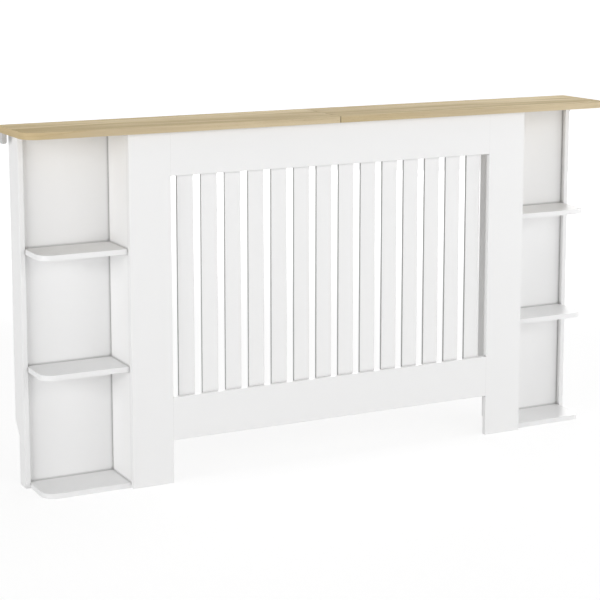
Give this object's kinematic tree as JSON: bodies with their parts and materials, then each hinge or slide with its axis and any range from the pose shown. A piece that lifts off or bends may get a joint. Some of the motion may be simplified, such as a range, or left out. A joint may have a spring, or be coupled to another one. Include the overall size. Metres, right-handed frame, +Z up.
{
  "type": "radiator cover cabinet",
  "caption": "Low radiator cover cabinet: slatted front between two stiles, an open bay of shelves at each end, and a slim oak top with rounded front corners.",
  "frame": {"origin": "middle of the cover's footprint, on the floor", "axes": "+X along the width, -Y to the front, +Y to the wall, +Z up"},
  "size_m": [1.52, 0.19, 0.82],
  "materials": {
    "white_board": "satin white painted board",
    "oak_board": "matt oak decor, grain along the width",
    "zinc": "zinc plated",
    "beech": "bare beech dowel"
  },
  "bodies": {
    "root": {"angle_bracket_left_front": "zinc", "angle_bracket_left_rear": "zinc", "angle_bracket_right_front": "zinc", "angle_bracket_right_rear": "zinc", "bay_back_left": "white_board", "bay_back_right": "white_board", "bottom_rail": "white_board", "bottom_rail_dowel_left": "beech", "bottom_rail_dowel_right": "beech", "front_stile_left": "white_board", "front_stile_right": "white_board", "partition_left": "white_board", "partition_right": "white_board", "plate_screw_left_inner": "zinc", "plate_screw_left_outer": "zinc", "plate_screw_right_inner": "zinc", "plate_screw_right_outer": "zinc", "shelf_left_lower": "white_board", "shelf_left_middle": "white_board", "shelf_left_upper": "white_board", "shelf_right_lower": "white_board", "shelf_right_middle": "white_board", "shelf_right_upper": "white_board", "shelf_screw_left_lower_front": "zinc", "shelf_screw_left_lower_rear": "zinc", "shelf_screw_left_middle_front": "zinc", "shelf_screw_left_middle_rear": "zinc", "shelf_screw_left_upper_front": "zinc", "shelf_screw_left_upper_rear": "zinc", "shelf_screw_right_lower_front": "zinc", "shelf_screw_right_lower_rear": "zinc", "shelf_screw_right_middle_front": "zinc", "shelf_screw_right_middle_rear": "zinc", "shelf_screw_right_upper_front": "zinc", "shelf_screw_right_upper_rear": "zinc", "side_panel_left": "white_board", "side_panel_right": "white_board", "slat_01": "white_board", "slat_02": "white_board", "slat_03": "white_board", "slat_04": "white_board", "slat_05": "white_board", "slat_06": "white_board", "slat_07": "white_board", "slat_08": "white_board", "slat_09": "white_board", "slat_10": "white_board", "slat_11": "white_board", "slat_12": "white_board", "slat_13": "white_board", "slat_14": "white_board", "top_board_left": "oak_board", "top_board_right": "oak_board", "top_joining_plate": "zinc", "top_rail": "white_board", "top_rail_dowel_left": "beech", "top_rail_dowel_right": "beech", "wall_block_left": "zinc", "wall_block_right": "zinc"}
  },
  "joints": []
}
